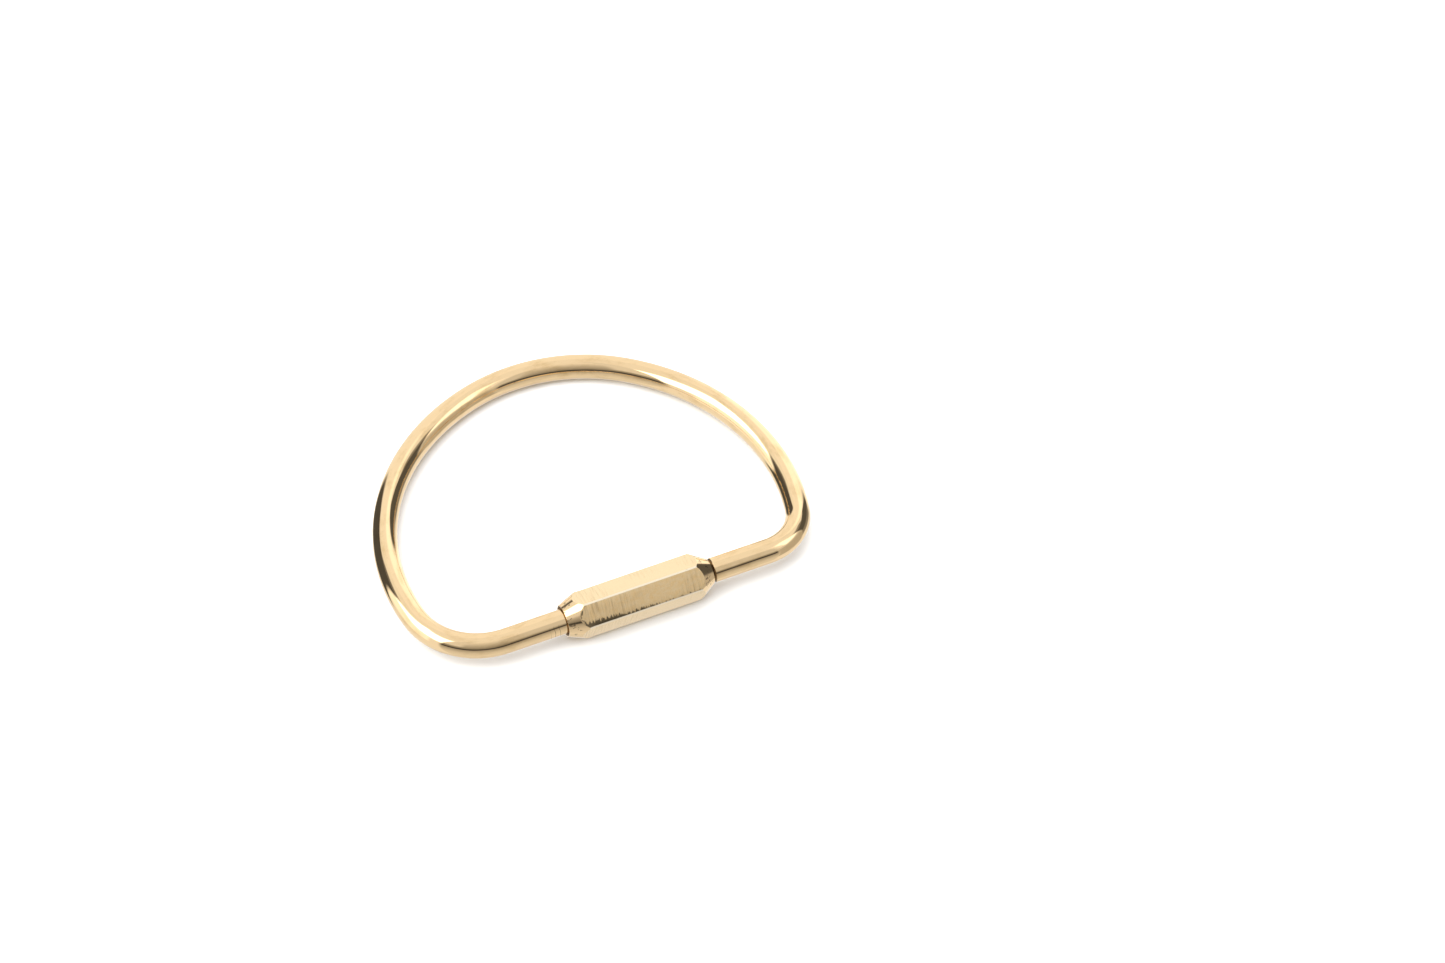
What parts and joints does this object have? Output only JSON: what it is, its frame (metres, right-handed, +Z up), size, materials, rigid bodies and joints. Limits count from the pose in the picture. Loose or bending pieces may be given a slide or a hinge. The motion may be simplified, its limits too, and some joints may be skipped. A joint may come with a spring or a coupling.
{
  "type": "screw-lock key ring",
  "caption": "D-shaped brass key ring bent from round rod, closed on its straight side by a sliding hexagonal screw barrel.",
  "frame": {"origin": "middle of the ring's outline, at half the rod's height", "axes": "+X along the straight side, towards the rod's threaded end; +Y across the ring, from the barrel to the bow; +Z up, square to the ring's plane"},
  "size_m": [0.0692, 0.0564, 0.0074],
  "materials": {
    "ring_brass": "polished",
    "barrel_brass": "fine ground, satin"
  },
  "bodies": {
    "ring": {"ring_rod": "ring_brass"},
    "barrel": {"barrel_nut": "barrel_brass"}
  },
  "joints": [
    {"name": "barrel_slide", "type": "slide", "parent": "ring", "child": "barrel", "axis": [-1, 0, 0], "range_m": [0, 0.0093]}
  ]
}
